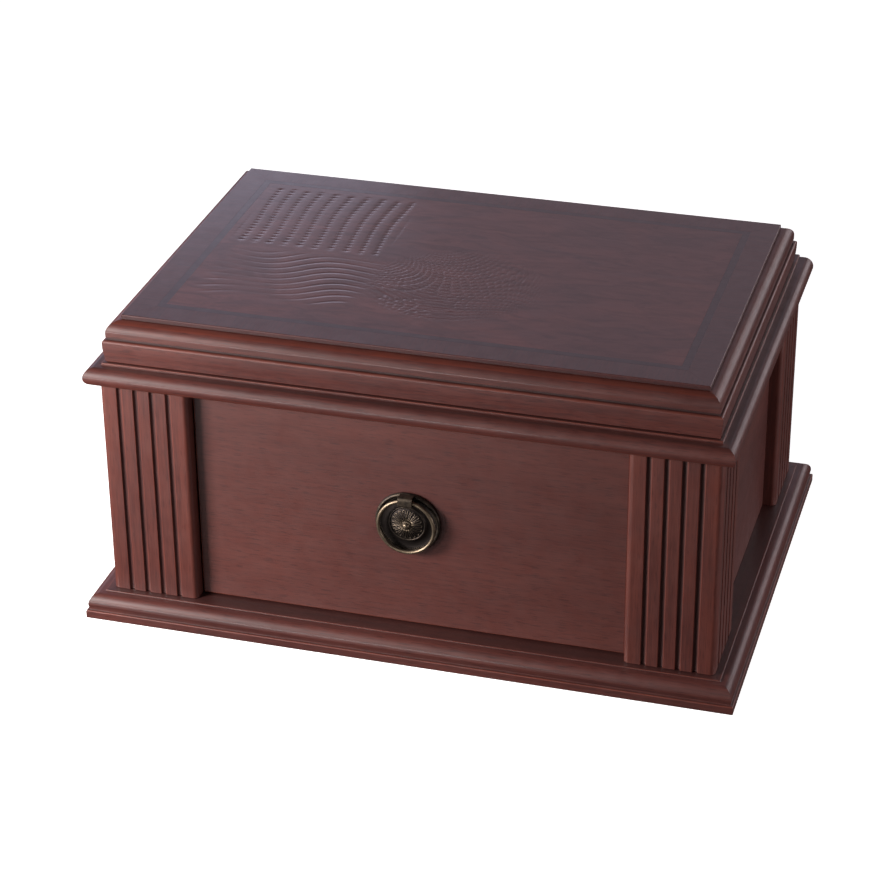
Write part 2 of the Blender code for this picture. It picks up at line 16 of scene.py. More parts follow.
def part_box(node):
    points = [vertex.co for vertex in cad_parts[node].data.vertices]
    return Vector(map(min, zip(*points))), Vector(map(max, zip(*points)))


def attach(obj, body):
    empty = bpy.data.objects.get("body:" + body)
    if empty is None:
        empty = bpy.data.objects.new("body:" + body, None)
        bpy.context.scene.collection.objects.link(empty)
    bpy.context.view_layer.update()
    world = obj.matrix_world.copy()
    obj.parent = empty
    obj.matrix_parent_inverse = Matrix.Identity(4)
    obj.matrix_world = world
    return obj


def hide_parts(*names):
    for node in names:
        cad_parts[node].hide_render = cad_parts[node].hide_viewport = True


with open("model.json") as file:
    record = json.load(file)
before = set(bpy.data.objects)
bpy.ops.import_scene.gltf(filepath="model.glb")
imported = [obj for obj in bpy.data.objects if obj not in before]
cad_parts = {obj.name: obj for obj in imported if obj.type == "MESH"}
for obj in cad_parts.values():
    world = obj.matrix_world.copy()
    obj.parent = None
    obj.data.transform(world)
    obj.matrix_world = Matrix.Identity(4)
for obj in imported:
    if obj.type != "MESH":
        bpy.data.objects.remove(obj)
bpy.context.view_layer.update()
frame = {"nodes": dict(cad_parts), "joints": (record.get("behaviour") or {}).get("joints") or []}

SIDES = ("front", "rear", "left", "right")
HANDS = ("left", "right")
HAIRLINE = 0.00003         # half the width of a glue line between two lengths of moulding


# ---------------------------------------------------------------- places read from the frame
def low(node, axis):
    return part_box(node)[0]["xyz".index(axis)]


def high(node, axis):
    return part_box(node)[1]["xyz".index(axis)]


BASE_EDGE_X = high("base_moulding_front", "x")
BASE_EDGE_Y = high("base_moulding_rear", "y")
LEDGE_Z = high("base_moulding_front", "z")
BASE_RAIL = high("base_moulding_front", "y") + BASE_EDGE_Y
POST_X = high("corner_post_front_right", "x")
POST_FACE_Y = low("corner_post_front_right", "y")
POST_REAR_Y = high("corner_post_rear_right", "y")
POST_SIZE = POST_X - low("corner_post_front_right", "x")
POST_WALL = POST_X - high("well_floor", "x")
CORNICE_X = high("cornice_front", "x")
CORNICE_FRONT_Y = low("cornice_front", "y")
CORNICE_Z = low("cornice_front", "z")
CORNICE_TOP = high("cornice_front", "z")
CORNICE_RAIL = high("cornice_front", "y") - CORNICE_FRONT_Y
LID_X = high("lid_moulding_right", "x")
LID_FRONT_Y = low("lid_moulding_front", "y")
LID_REAR_Y = high("lid_moulding_rear", "y")
LID_LOW = low("lid_moulding_front", "z")
LID_SHOULDER = high("lid_moulding_front", "z")
LID_RAIL = LID_X - high("lid_panel", "x")
TOP_Z = high("lid_field", "z")
TOP_LOW = low("lid_field", "z")
TOP_X = high("crossband_right", "x")
TOP_FRONT_Y = low("crossband_front", "y")
TOP_REAR_Y = high("crossband_rear", "y")
STRING_X = high("string_inlay", "x")
FIELD_X = high("lid_field", "x")
FIELD_FRONT_Y = low("lid_field", "y")
FIELD_REAR_Y = high("lid_field", "y")
FRONT_Y = low("drawer_front", "y")
FRONT_BACK = high("drawer_front", "y")
PLATE_MIDDLE = (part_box("pull_backplate")[0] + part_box("pull_backplate")[1]) / 2
PULL_Z = PLATE_MIDDLE.z
PLATE_R = high("pull_backplate", "x")
PLATE_BACK = high("pull_backplate", "y")
RING_LOW, RING_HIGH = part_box("pull_ring")
RING_Y = (RING_LOW.y + RING_HIGH.y) / 2
RING_PIVOT_Z = next(joint for joint in frame["joints"] if joint["name"] == "ring_swing")["pos_m"][2]
WIRE_R = (RING_HIGH.y - RING_LOW.y) / 2


# ---------------------------------------------------------------- mesh helpers
def new_object(name, mesh):
    piece = bpy.data.objects.new(name, mesh)
    bpy.context.scene.collection.objects.link(piece)
    return piece


def mesh_piece(name, points, faces, wear=None, sharp=40):
    """Smooth-shaded mesh with a per-vertex wear value: above 0 on rubbed edges; below 0, painted shade in
    the hollows of the wood and tarnish in those of the brass.
    """
    mesh = bpy.data.meshes.new(name)
    mesh.from_pydata([tuple(point) for point in points], [], faces)
    if wear is not None:
        layer = mesh.attributes.new("wear", "FLOAT", "POINT")
        layer.data.foreach_set("value", np.asarray(wear, np.float32))
    piece = new_object(name, mesh)
    outward(mesh)
    mesh.shade_smooth()
    mesh.set_sharp_from_angle(angle=math.radians(sharp))
    return piece


def outward(mesh):
    """Turn the faces of a closed mesh to point outwards."""
    bm = bmesh.new()
    bm.from_mesh(mesh)
    bmesh.ops.recalc_face_normals(bm, faces=bm.faces)
    if bm.calc_volume(signed=True) < 0:
        bmesh.ops.reverse_faces(bm, faces=bm.faces)
    bm.to_mesh(mesh)
    bm.free()


def even_shading(piece):
    """Keep broad flat faces flat where they meet narrow rounded edges."""
    modifier = piece.modifiers.new("even_shading", "WEIGHTED_NORMAL")
    modifier.keep_sharp = True
    modifier.weight = 100
    return piece


def arc(centre, radii, start, end, steps, wear=0.0):
    """Profile points (u, v, rounding, wear) on an elliptical arc, angles in degrees; negative wear is
    painted shade.
    """
    points = []
    for step in range(steps + 1):
        angle = math.radians(start + (end - start) * step / steps)
        u = centre[0] + radii[0] * math.cos(angle)
        v = centre[1] + radii[1] * math.sin(angle)
        points.append((u, v, 0.0, wear))
    return points


def soften(corners, steps=4):
    """Round the corners of a closed outline of (u, v, rounding, wear) into (u, v, wear), where negative wear
    is painted shade.

    A rounded corner is marked as rubbed where it stands out, and gets painted shade where it turns in.
    """
    count = len(corners)
    area = 0.0
    for index in range(count):
        u0, v0 = corners[index - 1][:2]
        u1, v1 = corners[index][:2]
        area += u0 * v1 - u1 * v0
    points = []
    for index, (u, v, rounding, wear) in enumerate(corners):
        if rounding == 0.0:
            points.append((u, v, wear))
            continue
        here = Vector((u, v))
        before = Vector(corners[index - 1][:2]) - here
        after = Vector(corners[(index + 1) % count][:2]) - here
        reach = min(rounding, 0.45 * before.length, 0.45 * after.length)
        start = here + before.normalized() * reach
        end = here + after.normalized() * reach
        stands_out = before.cross(after) * area < 0
        for step in range(steps + 1):
            t = step / steps
            place = start * (1 - t) ** 2 + here * 2 * t * (1 - t) + end * t ** 2
            strength = 1.0 - abs(2 * t - 1)
            # Inward corners take negative values: painted shade in the crease.
            points.append((place.x, place.y, strength if stands_out else -strength))
    return points


def prism(name, ends, wear):
    """Closed solid between two outlines of the same number of points."""
    first, second = ends
    count = len(first)
    faces = [tuple(range(count)), tuple(range(2 * count - 1, count - 1, -1))]
    for index in range(count):
        follower = (index + 1) % count
        faces.append((index, follower, count + follower, count + index))
    return even_shading(mesh_piece(name, first + second, faces, wear + wear))


def moulding(name, profile, rect, side, square_end=False):
    """One mitred length of moulding along a side of a rectangle; the profile holds (inset, z, wear),
    negative wear being painted shade.
    """
    x0, x1, y0, y1 = rect
    ends = []
    for far_end in (False, True):
        points = []
        for inset, z, _ in profile:
            if side in ("front", "rear"):
                along = x1 - inset - HAIRLINE if far_end else x0 + inset + HAIRLINE
                across = y0 + inset if side == "front" else y1 - inset
                points.append((along, across, z))
            else:
                along = y1 - inset - HAIRLINE if far_end else y0 + inset + HAIRLINE
                if far_end and square_end:
                    along = y1
                across = x0 + inset if side == "left" else x1 - inset
                points.append((across, along, z))
        ends.append(points)
    return prism(name, ends, [wear for _, _, wear in profile])


def grid_faces(rows, columns, closed_rows=False, closed_columns=False):
    """Quads over a grid of points stored row by row."""
    faces = []
    for row in range(rows if closed_rows else rows - 1):
        for column in range(columns if closed_columns else columns - 1):
            next_row = (row + 1) % rows
            next_column = (column + 1) % columns
            faces.append((row * columns + column, row * columns + next_column,
                          next_row * columns + next_column, next_row * columns + column))
    return faces


def grid_rim(rows, columns):
    """The points of such a grid that lie on its outer edge, once round."""
    rim = list(range(columns))
    rim += [row * columns + columns - 1 for row in range(1, rows)]
    rim += [(rows - 1) * columns + column for column in range(columns - 2, -1, -1)]
    rim += [row * columns for row in range(rows - 2, 0, -1)]
    return rim


def turned(name, profile, middle, steps=96, relief=None, sharp=40):
    """Closed piece turned about an axis along Y.

    The profile holds (radius, y, wear) and starts and ends on the axis.  Relief, if given, takes
    (radius, angle) arrays and returns how far the front surface moves out and its wear.
    """
    radii = np.array([point[0] for point in profile])
    depths = np.array([point[1] for point in profile])
    wears = np.array([point[2] for point in profile])
    angles = np.arange(steps) * 2 * math.pi / steps
    radius, angle = np.meshgrid(radii, angles, indexing="ij")
    depth = np.repeat(depths[:, None], steps, axis=1)
    wear = np.repeat(wears[:, None], steps, axis=1)
    if relief:
        rise, rubbed = relief(radius, angle)
        depth = depth - rise
        wear = np.clip(wear + rubbed, -1.0, 1.0)
    x = middle[0] + radius * np.cos(angle)
    z = middle[1] + radius * np.sin(angle)
    points = np.stack([x, depth, z], axis=-1).reshape(-1, 3)
    faces = grid_faces(len(profile), steps, closed_columns=True)
    first = len(points)
    ends = [(middle[0], profile[0][1], middle[1]), (middle[0], profile[-1][1], middle[1])]
    last_ring = (len(profile) - 1) * steps
    for step in range(steps):
        follower = (step + 1) % steps
        faces.append((first, follower, step))
        faces.append((first + 1, last_ring + step, last_ring + follower))
    wear = list(wear.reshape(-1)) + [profile[0][2], profile[-1][2]]
    return mesh_piece(name, [*points, *ends], faces, wear, sharp)


def softened_board(name, node, rounding, segments=3):
    """Board of a CAD node's own size with rounded edges, marked as rubbed along them."""
    lowest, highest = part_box(node)
    bm = bmesh.new()
    size = highest - lowest
    matrix = Matrix.Translation((lowest + highest) / 2) @ Matrix.Diagonal((*size, 1.0))
    bmesh.ops.create_cube(bm, size=1.0, matrix=matrix)
    bmesh.ops.bevel(bm, geom=bm.edges[:], offset=rounding, segments=segments, profile=0.5, affect="EDGES")
    points = [vertex.co.copy() for vertex in bm.verts]
    faces = [tuple(vertex.index for vertex in face.verts) for face in bm.faces]
    bm.free()
    wear = []
    for point in points:
        near = sum(min(point[i] - lowest[i], highest[i] - point[i]) < rounding * 0.9 for i in range(3))
        wear.append(1.0 if near >= 2 else 0.0)
    return even_shading(mesh_piece(name, points, faces, wear))


def place(piece, node, body, slot, material):
    """Let a piece stand for a CAD node of the same name, on its body, in its material."""
    piece.data.materials.clear()
    piece.data.materials.append(material)
    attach(piece, body)
    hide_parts(node)
    return piece


# ---------------------------------------------------------------- material helpers
class Nodes:
    """Short ways to add and join the nodes of one material."""

    def __init__(self, name):
        self.material = bpy.data.materials.new(name)
        self.material.use_nodes = True
        self.tree = self.material.node_tree
        self.shader = self.tree.nodes["Principled BSDF"]

    def add(self, kind, inputs=None, **settings):
        node = self.tree.nodes.new(kind)
        for key, value in settings.items():
            setattr(node, key, value)
        for key, value in (inputs or {}).items():
            self.join(value, node.inputs[key])
        return node

    def join(self, value, socket):
        if isinstance(value, bpy.types.NodeSocket):
            self.tree.links.new(value, socket)
        else:
            socket.default_value = value

    def place(self, scale, offset=(0.0, 0.0, 0.0)):
        where = self.add("ShaderNodeTexCoord").outputs["Object"]
        mapping = self.add("ShaderNodeMapping", {"Vector": where, "Scale": scale, "Location": offset})
        return mapping.outputs["Vector"]

    def noise(self, vector, scale, detail=2.0, roughness=0.5, distortion=0.0):
        inputs = {"Vector": vector, "Scale": scale, "Detail": detail, "Roughness": roughness,
                  "Distortion": distortion}
        return self.add("ShaderNodeTexNoise", inputs).outputs["Fac"]

    def curve(self, value, *stops):
        """Map a value through straight lines between (position, level) stops."""
        ramp = self.add("ShaderNodeValToRGB", {"Fac": value})
        elements = ramp.color_ramp.elements
        while len(elements) < len(stops):
            elements.new(0.5)
        for element, (position, level) in zip(elements, stops):
            element.position = position
            element.color = (level, level, level, 1.0)
        return ramp.outputs["Color"]

    def math(self, operation, first, second=0.0):
        node = self.add("ShaderNodeMath", {0: first, 1: second}, operation=operation)
        return node.outputs["Value"]

    def mix(self, factor, first, second):
        node = self.add("ShaderNodeMix", data_type="RGBA")
        self.join(factor, node.inputs[0])
        self.join(first, node.inputs[6])
        self.join(second, node.inputs[7])
        return node.outputs[2]

    def bump(self, height, strength, distance):
        inputs = {"Height": height, "Strength": strength, "Distance": distance}
        normal = self.add("ShaderNodeBump", inputs)
        self.tree.links.new(normal.outputs["Normal"], self.shader.inputs["Normal"])

    def set(self, **sockets):
        for key, value in sockets.items():
            self.join(value, self.shader.inputs[key.replace("_", " ")])
        return self.material


def rgb(red, green, blue):
    return (red, green, blue, 1.0)


def stretched(grain, along, across):
    """Mapping scale that draws a texture out along the grain."""
    scale = [across, across, across]
    scale["xyz".index(grain)] = along
    return tuple(scale)


def lacquered_wood(name, grain, body, light, dark, offset=0.0, figure=0.5, gloss=0.30, coat=0.35,
                   level=0.5):
    """Stained hardwood under satin lacquer, with its grain along one axis, rubbed edges and painted shade in
    its hollows.
    """
    n = Nodes(name)
    shift = (offset, offset * 1.7, offset * 0.6)
    cloud = n.noise(n.place(stretched(grain, 5.0, 14.0), shift), 1.0, 2.0, 0.55, 0.4)
    streak = n.noise(n.place(stretched(grain, 14.0, 420.0), shift), 1.0, 3.0, 0.6, 0.15)
    fibre = n.noise(n.place(stretched(grain, 50.0, 1100.0), shift), 1.0, 2.0, 0.6)
    pores = n.noise(n.place(stretched(grain, 110.0, 1700.0), shift), 1.0, 1.0, 0.5)
    colour = n.mix(n.curve(cloud, (0.30, 0.0), (0.72, 1.0)), body, light)
    streak_amount = n.math("MULTIPLY", n.curve(streak, (0.40, 0.0), (0.68, 1.0)), figure)
    colour = n.mix(streak_amount, colour, dark)
    fibre_amount = n.math("MULTIPLY", n.curve(fibre, (0.45, 0.0), (0.72, 1.0)), figure)
    colour = n.mix(fibre_amount, colour, light)
    pore_amount = n.curve(pores, (0.57, 0.0), (0.68, 0.60))
    colour = n.mix(pore_amount, colour, dark)
    wear = n.add("ShaderNodeAttribute", attribute_name="wear").outputs["Fac"]
    patchy = n.noise(n.place((40.0, 40.0, 40.0), shift), 1.0, 2.0)
    rubbed = n.math("MULTIPLY", n.math("MAXIMUM", wear, 0.0), n.curve(patchy, (0.3, 0.35), (0.7, 0.9)))
    colour = n.mix(rubbed, colour, rgb(0.165, 0.030, 0.014))
    # Painted shade: negative values darken quirks, grooves, creases and shaded flats towards near black.
    hollow = n.math("MULTIPLY", n.math("MINIMUM", wear, 0.0), -0.75)
    colour = n.mix(hollow, colour, rgb(0.014, 0.006, 0.006))
    mottled = n.noise(n.place((90.0, 90.0, 90.0), shift), 1.0, 3.0, 0.6)
    roughness = n.curve(mottled, (0.3, gloss - 0.04), (0.7, gloss + 0.06))
    n.set(Base_Color=colour, Roughness=roughness, Specular_IOR_Level=level, Coat_Weight=coat,
          Coat_Roughness=0.16)
    height = n.math("SUBTRACT", n.math("MULTIPLY", fibre, 0.6), pore_amount)
    n.bump(height, 0.35, 0.00006)
    return n.material


def plain_wood(name, grain, offset=0.0):
    """Unstained pale hardwood with a matt seal."""
    n = Nodes(name)
    shift = (offset, offset * 0.8, offset * 1.3)
    rings = n.noise(n.place(stretched(grain, 3.0, 60.0), shift), 1.0, 3.0, 0.55, 0.8)
    fibre = n.noise(n.place(stretched(grain, 40.0, 1100.0), shift), 1.0, 2.0, 0.6)
    colour = n.mix(n.curve(rings, (0.35, 0.0), (0.65, 1.0)), rgb(0.50, 0.33, 0.18), rgb(0.38, 0.225, 0.11))
    colour = n.mix(n.curve(fibre, (0.5, 0.0), (0.8, 0.5)), colour, rgb(0.27, 0.15, 0.07))
    n.set(Base_Color=colour, Roughness=n.curve(fibre, (0.3, 0.50), (0.7, 0.66)), Specular_IOR_Level=0.35)
    n.bump(n.math("ADD", n.math("MULTIPLY", rings, 0.4), fibre), 0.5, 0.00008)
    return n.material


def felt(name):
    """Dark red wool felt with a dull, uneven pile."""
    n = Nodes(name)
    fluff = n.noise(n.place((900.0, 900.0, 900.0)), 1.0, 4.0, 0.7)
    patch = n.noise(n.place((30.0, 30.0, 30.0)), 1.0, 3.0, 0.6)
    colour = n.mix(n.curve(fluff, (0.3, 0.0), (0.7, 1.0)), rgb(0.085, 0.008, 0.018),
                   rgb(0.190, 0.020, 0.038))
    colour = n.mix(n.math("MULTIPLY", patch, 0.35), colour, rgb(0.030, 0.004, 0.010))
    n.set(Base_Color=colour, Roughness=n.curve(patch, (0.3, 0.88), (0.7, 1.0)), Specular_IOR_Level=0.10,
          Sheen_Weight=0.25, Sheen_Roughness=0.6, Sheen_Tint=rgb(1.0, 0.35, 0.40))
    n.bump(fluff, 0.8, 0.0004)
    return n.material


def aged_brass(name, dark, bright, tarnish, rub, roughness):
    """Brass with dark tarnish in its hollows and bright metal where hands rub it."""
    n = Nodes(name)
    cloud = n.noise(n.place((260.0, 260.0, 260.0)), 1.0, 4.0, 0.65)
    grit = n.noise(n.place((2400.0, 2400.0, 2400.0)), 1.0, 2.0, 0.6)
    wear = n.add("ShaderNodeAttribute", attribute_name="wear").outputs["Fac"]
    level = n.math("ADD", n.math("MULTIPLY", wear, rub), n.math("MULTIPLY", cloud, tarnish))
    amount = n.curve(level, (0.15, 0.0), (0.85, 1.0))
    colour = n.mix(amount, dark, bright)
    colour = n.mix(n.curve(grit, (0.55, 0.0), (0.75, 0.35)), colour, dark)
    shine = n.math("SUBTRACT", n.curve(cloud, (0.2, roughness), (0.8, roughness + 0.14)),
                   n.math("MULTIPLY", amount, 0.10))
    n.set(Base_Color=colour, Metallic=0.92, Roughness=shine, Specular_IOR_Level=0.5)
    n.bump(n.math("ADD", grit, cloud), 0.30, 0.00008)
    return n.material


def mahogany(name, grain, offset=0.0, **changes):
    """Red-brown lacquered wood of the mouldings, posts and panels."""
    settings = {"figure": 0.50, "gloss": 0.44, "coat": 0.25}
    settings.update(changes)
    return lacquered_wood(name, grain, rgb(0.066, 0.0165, 0.0135), rgb(0.100, 0.027, 0.021),
                          rgb(0.030, 0.0085, 0.0085), offset, **settings)


def band_wood(name, grain, offset):
    """Darker veneer of the border, with its grain across the strip."""
    return lacquered_wood(name, grain, rgb(0.046, 0.0110, 0.012), rgb(0.064, 0.0150, 0.014),
                          rgb(0.024, 0.0075, 0.009), offset, 0.4, 0.48, 0.75, 0.35)


def burr_veneer(name):
    """Figured veneer of the carved field: broad cloudy figure with fine curls, and painted shade in the
    carving's hollows.
    """
    n = Nodes(name)
    bent = n.noise(n.place((9.0, 16.0, 10.0)), 1.0, 3.0, 0.6, 1.6)
    curl = n.noise(n.place((38.0, 110.0, 60.0)), 1.0, 4.0, 0.62, 1.1)
    fibre = n.noise(n.place((150.0, 1500.0, 900.0)), 1.0, 2.0, 0.6, 0.2)
    colour = n.mix(n.curve(bent, (0.34, 0.0), (0.66, 1.0)), rgb(0.064, 0.0140, 0.014),
                   rgb(0.120, 0.0260, 0.019))
    curl_amount = n.curve(curl, (0.42, 0.0), (0.66, 0.55))
    colour = n.mix(curl_amount, colour, rgb(0.038, 0.010, 0.011))
    colour = n.mix(n.curve(fibre, (0.5, 0.0), (0.75, 0.30)), colour, rgb(0.105, 0.028, 0.022))
    wear = n.add("ShaderNodeAttribute", attribute_name="wear").outputs["Fac"]
    rubbed = n.math("MULTIPLY", n.math("MAXIMUM", wear, 0.0), 0.45)
    colour = n.mix(rubbed, colour, rgb(0.110, 0.030, 0.022))
    # Painted shade: negative values darken the cut hollows of the carving.
    hollow = n.math("MULTIPLY", n.math("MINIMUM", wear, 0.0), -0.80)
    colour = n.mix(hollow, colour, rgb(0.018, 0.007, 0.008))
    n.set(Base_Color=colour, Roughness=n.curve(curl, (0.3, 0.46), (0.7, 0.56)),
          Specular_IOR_Level=0.35, Coat_Weight=0.75, Coat_Roughness=0.15)
    n.bump(n.math("ADD", fibre, n.math("MULTIPLY", curl, 0.5)), 0.30, 0.00006)
    return n.material


LOOKS = {
    "mahogany_x": mahogany("mahogany_x", "x"),
    "mahogany_y": mahogany("mahogany_y", "y", 3.1),
    "mahogany_z": mahogany("mahogany_z", "z", 5.3, figure=0.65),
    "mahogany_panel": mahogany("mahogany_panel", "x", 7.7, figure=0.28, gloss=0.48),
    "mahogany_side": mahogany("mahogany_side", "y", 9.2, figure=0.28, gloss=0.48),
    "band_x": band_wood("band_x", "y", 2.0),
    "band_y": band_wood("band_y", "x", 4.0),
    "ebony": lacquered_wood("ebony", "x", rgb(0.022, 0.0090, 0.014), rgb(0.032, 0.012, 0.017),
                            rgb(0.006, 0.005, 0.007), 6.0, 0.4, 0.48, 0.75, 0.35),
    "veneer": burr_veneer("veneer"),
    "pale_x": plain_wood("pale_x", "x"),
    "pale_y": plain_wood("pale_y", "y", 1.9),
    "felt": felt("felt"),
    "antique_brass": aged_brass("antique_brass", rgb(0.026, 0.020, 0.018), rgb(0.215, 0.160, 0.110),
                                0.70, 0.60, 0.46),
    "hinge_brass": aged_brass("hinge_brass", rgb(0.20, 0.13, 0.05), rgb(0.62, 0.46, 0.20), 0.9, 0.3, 0.26),
}


# ---------------------------------------------------------------- chest woodwork
def base_mouldings():
    """Plain band, quirk and ovolo, then a small step up to the ledge that the posts stand on."""
    band = 0.0055
    quirk = 0.0068
    nose = 0.0012
    sink = nose + 0.0006
    shoulder = LEDGE_Z - 0.0007
    step = 0.0103
    # Negative values paint shade into the quirk and onto the ledge behind the small step.
    corners = [(0.0, 0.0, 0.0004, 0.0), (0.0, band, 0.0008, 0.0), (sink, band, 0.0003, 0.0),
               (sink, quirk, 0.0002, -1.0)]
    corners += arc((nose + 0.0062, 0.0090), (0.0062, shoulder - 0.0090), 180, 90, 20)
    corners += [(step, shoulder, 0.0003, 0.0), (step, LEDGE_Z, 0.0003, 0.0),
                (step + 0.0012, LEDGE_Z, 0.0, -0.45), (step + 0.0050, LEDGE_Z, 0.0, -0.70),
                (BASE_RAIL, LEDGE_Z, 0.0, -0.70), (BASE_RAIL, 0.0, 0.0, 0.0)]
    profile = soften(corners)
    rect = (-BASE_EDGE_X, BASE_EDGE_X, -BASE_EDGE_Y, BASE_EDGE_Y)
    for side in SIDES:
        node = "base_moulding_" + side
        look = LOOKS["mahogany_x" if side in ("front", "rear") else "mahogany_y"]
        place(moulding("fine_" + node, profile, rect, side), node, "chest", "mahogany", look)


def flutes():
    """Outline of one post face with its round grooves, as (u, v, rounding, wear) points."""
    count = 4
    pitch = 0.0107
    half = 0.0017
    deep = 0.0015
    lip = 0.00012              # drop of the rubbed edge beside a groove
    hollow = -0.15             # painted shade inside a groove
    first = POST_SIZE / 2 - pitch * (count - 1) / 2
    points = []
    for index in range(count):
        middle = first + pitch * index
        walls = []
        for side in (-1, 1):
            wall = [(middle + side * (half + 0.0004), 0.0, 0.10),
                    (middle + side * (half + 0.00015), lip / 4, 0.75),
                    (middle + side * half, lip, 0.80)]
            for step in range(6):
                swing = math.radians(12 + 13 * step)
                wall.append((middle + side * half * math.cos(swing), lip + deep * math.sin(swing), hollow))
            walls.append(wall)
        points += walls[0] + [(middle, lip + deep, hollow)] + walls[1][::-1]
    return [(u, v, 0.0, wear) for u, v, wear in points]


def posts():
    """Hollow-backed corner posts, fluted on both outer faces, with rounded upright edges."""
    r = 0.0035
    front = flutes()
    outline = arc((r, r), (r, r), 180, 270, 10, 0.3) + front
    outline += arc((POST_SIZE - r, r), (r, r), 270, 360, 10, 0.3)
    outline += [(POST_SIZE, POST_WALL, 0.0, 0.0), (POST_WALL, POST_WALL, 0.0, 0.0),
                (POST_WALL, POST_SIZE, 0.0, 0.0)]
    outline += arc((r, POST_SIZE - r), (r, r), 90, 180, 10, 0.3)
    outline += [(v, u, rounding, wear) for u, v, rounding, wear in reversed(front)]
    wear = [point[3] for point in outline]
    for end, flip_y in (("front", 1), ("rear", -1)):
        for hand, flip_x in (("left", 1), ("right", -1)):
            node = "corner_post_%s_%s" % (end, hand)
            corner_y = POST_FACE_Y if end == "front" else POST_REAR_Y
            plan = [(-flip_x * POST_X + flip_x * u, corner_y + flip_y * v) for u, v, _, _ in outline]
            ends = [[(x, y, z) for x, y in plan] for z in (low(node, "z"), high(node, "z"))]
            place(prism("fine_" + node, ends, wear), node, "chest", "mahogany", LOOKS["mahogany_z"])


def cornices():
    """Bullnose with a low step under the lid."""
    thick = CORNICE_TOP - CORNICE_Z - 0.0015
    radius = thick / 2
    step_in = 0.0094
    nose_top = CORNICE_Z + thick
    corners = arc((radius, CORNICE_Z + radius), (radius, radius), 270, 215, 8, 0.45)
    corners += arc((radius, CORNICE_Z + radius), (radius, radius), 205, 110, 18)
    # Negative values paint shade on the top of the nose, at the foot of the step and along the flat top
    # behind it.
    corners += arc((radius, CORNICE_Z + radius), (radius, radius), 100, 90, 2, -0.45)
    corners += [(step_in, nose_top, 0.0002, -0.6), (step_in, CORNICE_TOP, 0.0006, 0.0),
                (step_in + 0.0014, CORNICE_TOP, 0.0, -0.50),
                (CORNICE_RAIL, CORNICE_TOP, 0.0, -0.70), (CORNICE_RAIL, CORNICE_Z, 0.0, 0.0)]
    profile = soften(corners)
    rect = (-CORNICE_X, CORNICE_X, CORNICE_FRONT_Y, POST_REAR_Y)
    for side in ("front", "left", "right"):
        node = "cornice_" + side
        look = LOOKS["mahogany_x" if side == "front" else "mahogany_y"]
        place(moulding("fine_" + node, profile, rect, side, True), node, "chest", "mahogany", look)
    board = softened_board("fine_cornice_rear", "cornice_rear", 0.0005)
    place(board, "cornice_rear", "chest", "mahogany", LOOKS["mahogany_x"])


def boards():
    """Flat panels of the chest, drawer and well, each a board with softened edges."""
    rows = [
        ("side_panel_left", "chest", "mahogany", "mahogany_side", 0.0004),
        ("side_panel_right", "chest", "mahogany", "mahogany_side", 0.0004),
        ("rear_panel", "chest", "mahogany", "mahogany_panel", 0.0004),
        ("well_front", "chest", "mahogany", "mahogany_panel", 0.0008),
        ("bottom_panel", "chest", "plain_wood", "pale_x", 0.0004),
        ("well_floor", "chest", "plain_wood", "pale_x", 0.0004),
        ("well_ledger_left", "chest", "plain_wood", "pale_y", 0.0005),
        ("well_ledger_right", "chest", "plain_wood", "pale_y", 0.0005),
        ("drawer_guide_left", "chest", "plain_wood", "pale_y", 0.0005),
        ("drawer_guide_right", "chest", "plain_wood", "pale_y", 0.0005),
        ("lid_panel", "lid", "plain_wood", "pale_x", 0.0004),
        ("drawer_side_left", "drawer", "plain_wood", "pale_y", 0.0012),
        ("drawer_side_right", "drawer", "plain_wood", "pale_y", 0.0012),
        ("drawer_back", "drawer", "plain_wood", "pale_x", 0.0008),
        ("drawer_bottom", "drawer", "plain_wood", "pale_x", 0.0003),
    ]
    for node, body, slot, look, rounding in rows:
        place(softened_board("fine_" + node, node, rounding), node, body, slot, LOOKS[look])


def drawer_front():
    board = softened_board("fine_drawer_front", "drawer_front", 0.0009, 4)
    place(board, "drawer_front", "drawer", "mahogany", LOOKS["mahogany_panel"])


def linings():
    """Felt mats of the well and the drawer: thin, with soft rolled edges and a slightly uneven pile."""
    for node, body, holder in (("well_lining", "chest", "well_floor"),
                               ("drawer_lining", "drawer", "drawer_bottom")):
        lowest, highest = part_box(node)
        columns, rows = 90, 64
        thick = highest.z - lowest.z
        top = []
        for row in range(rows):
            for column in range(columns):
                u = column / (columns - 1)
                v = row / (rows - 1)
                x = lowest.x + (highest.x - lowest.x) * u
                y = lowest.y + (highest.y - lowest.y) * v
                edge = min(u * (highest.x - lowest.x), (1 - u) * (highest.x - lowest.x),
                           v * (highest.y - lowest.y), (1 - v) * (highest.y - lowest.y))
                roll = min(1.0, edge / 0.004)
                pile = 0.00012 * math.sin(x * 210) * math.sin(y * 260 + x * 90)
                top.append((x, y, lowest.z + thick * (0.45 + 0.5 * math.sqrt(roll)) + pile * roll))
        under = [(x, y, lowest.z) for x, y, _ in top]
        count = rows * columns
        faces = grid_faces(rows, columns)
        faces += [tuple(count + index for index in reversed(face)) for face in grid_faces(rows, columns)]
        rim = grid_rim(rows, columns)
        for here, after in zip(rim, rim[1:] + rim[:1]):
            faces.append((here, after, count + after, count + here))
        mat = mesh_piece("felt_" + node, top + under, faces, [0.0] * (2 * count), 60)
        place(mat, node, body, "felt", LOOKS["felt"])


